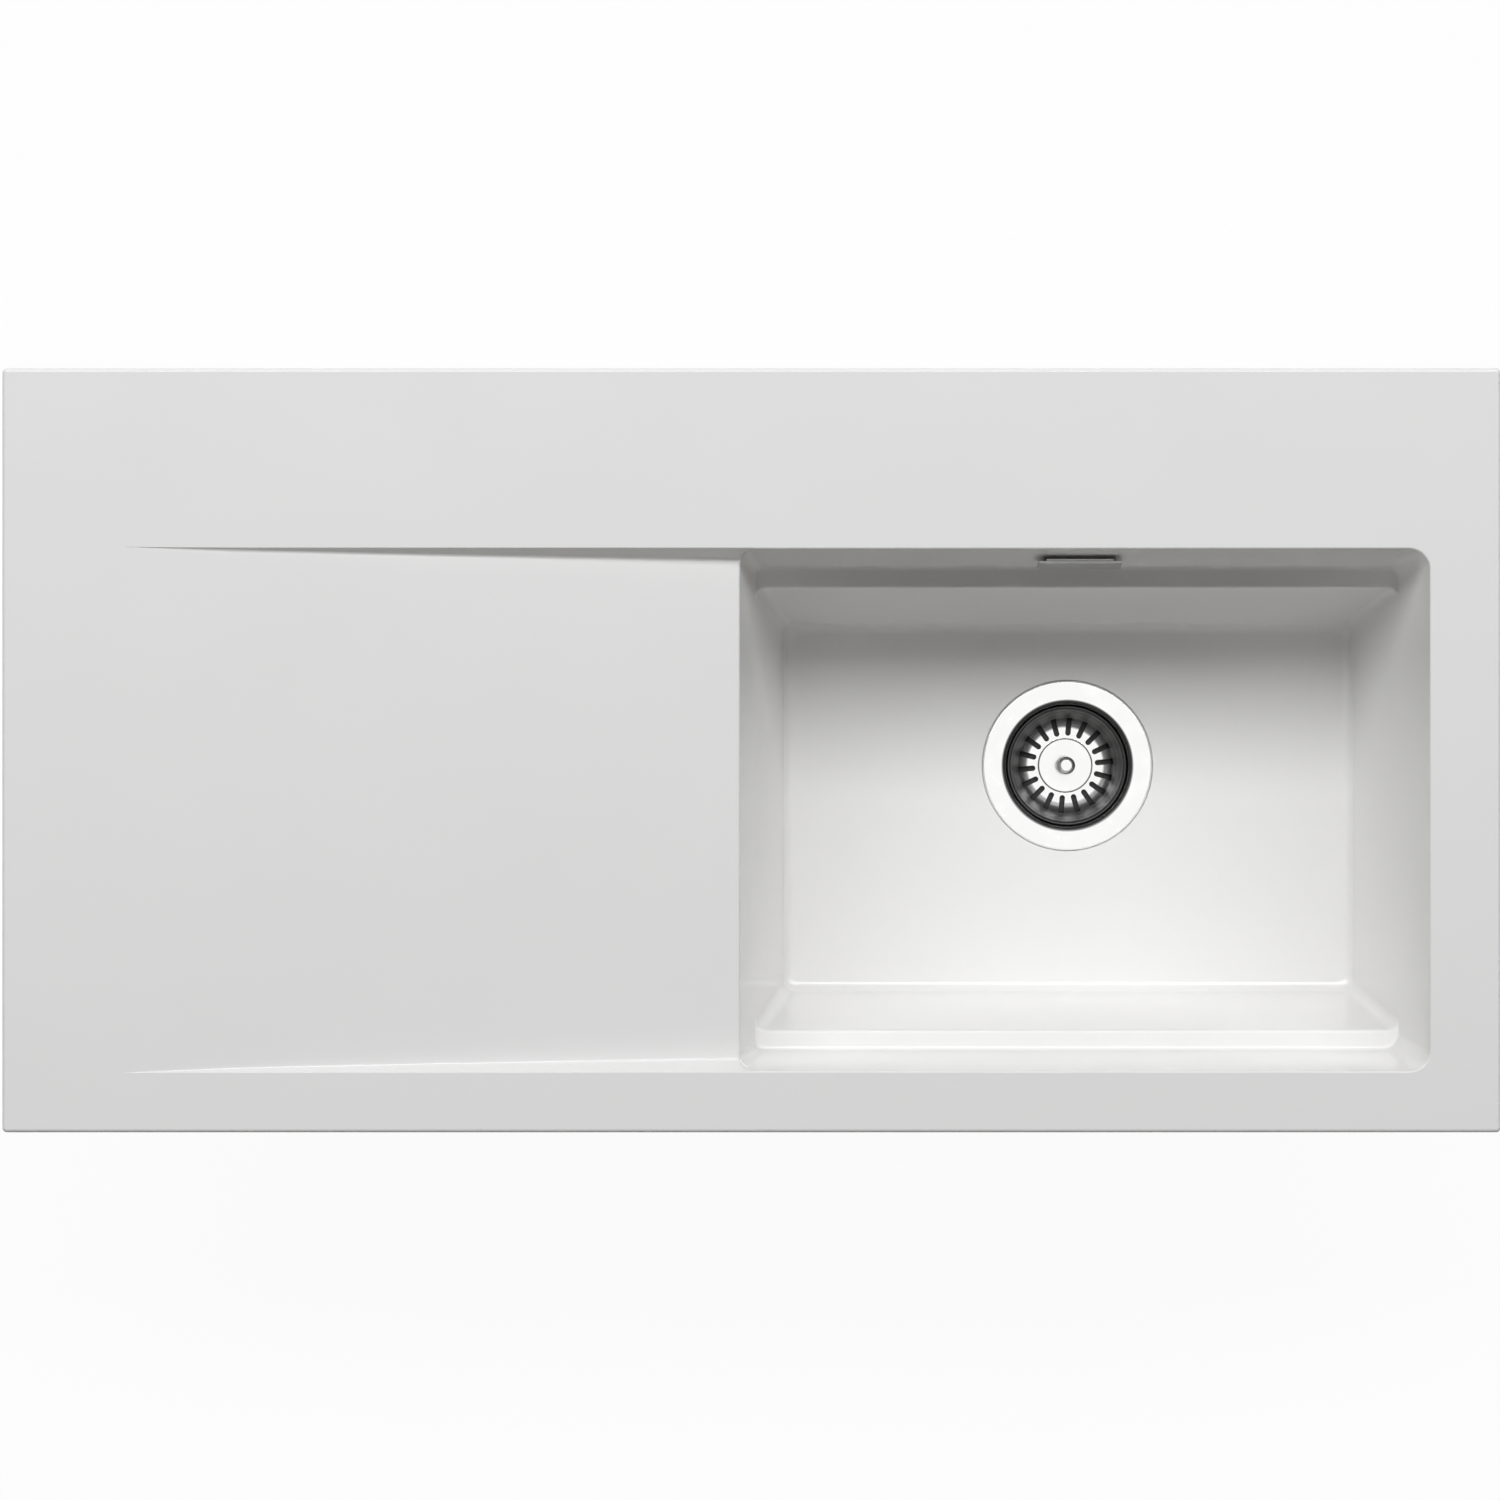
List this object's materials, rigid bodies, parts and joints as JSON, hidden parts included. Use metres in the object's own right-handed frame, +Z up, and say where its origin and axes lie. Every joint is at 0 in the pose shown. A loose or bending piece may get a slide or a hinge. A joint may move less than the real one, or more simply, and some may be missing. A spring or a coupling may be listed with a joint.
{
  "type": "kitchen sink with drainboard",
  "caption": "White ceramic inset kitchen sink with a deep ledged bowl, a sloping drainboard, a lift-out basket strainer and a hidden overflow hose.",
  "frame": {"origin": "centre of the rim's plan outline, on the plane where the rim's underside meets the worktop", "axes": "+Z up, +Y to the rear of the worktop, +X towards the bowl's end, so the drainboard is on the -X side"},
  "size_m": [1, 0.51, 0.288],
  "materials": {
    "ceramic_glaze": "fired white glaze, smooth and glossy",
    "seal_rubber": "soft black sealing rubber",
    "polished_steel": "pressed stainless steel, satin to polished",
    "cover_steel": "pressed stainless steel, polished face",
    "knob_chrome": "turned and polished",
    "screw_steel": "machined stainless steel",
    "brass": "turned brass",
    "waste_plastic": "moulded white plastic, slightly satin",
    "hose_plastic": "flexible light grey plastic",
    "carrier_plastic": "moulded dark plastic"
  },
  "bodies": {
    "sink": {"sink_body": "ceramic_glaze", "rim_seal": "seal_rubber", "flange_gasket": "seal_rubber", "strainer_cup": "polished_steel", "waste_gasket": "seal_rubber", "waste_body": "waste_plastic", "waste_insert": "brass", "clamp_washer": "screw_steel", "clamp_screw": "screw_steel", "overflow_insert": "carrier_plastic", "overflow_screw": "screw_steel", "overflow_gasket": "seal_rubber", "overflow_housing": "waste_plastic", "upper_hose_seal": "seal_rubber", "upper_hose_nut": "waste_plastic", "overflow_hose": "hose_plastic", "lower_hose_seal": "seal_rubber", "lower_hose_nut": "waste_plastic"},
    "basket": {"strainer_basket": "polished_steel", "basket_knob": "knob_chrome", "knob_stem": "screw_steel", "plug_carrier": "carrier_plastic", "plug_seal": "seal_rubber"},
    "cover": {"overflow_cover": "cover_steel"}
  },
  "joints": [
    {"name": "basket_lift", "type": "slide", "parent": "sink", "child": "basket", "axis": [0, 0, 1], "range_m": [0, 0.25]},
    {"name": "overflow_cover_pull", "type": "slide", "parent": "sink", "child": "cover", "axis": [0, -0.9903, 0.1392], "range_m": [0, 0.015]}
  ]
}
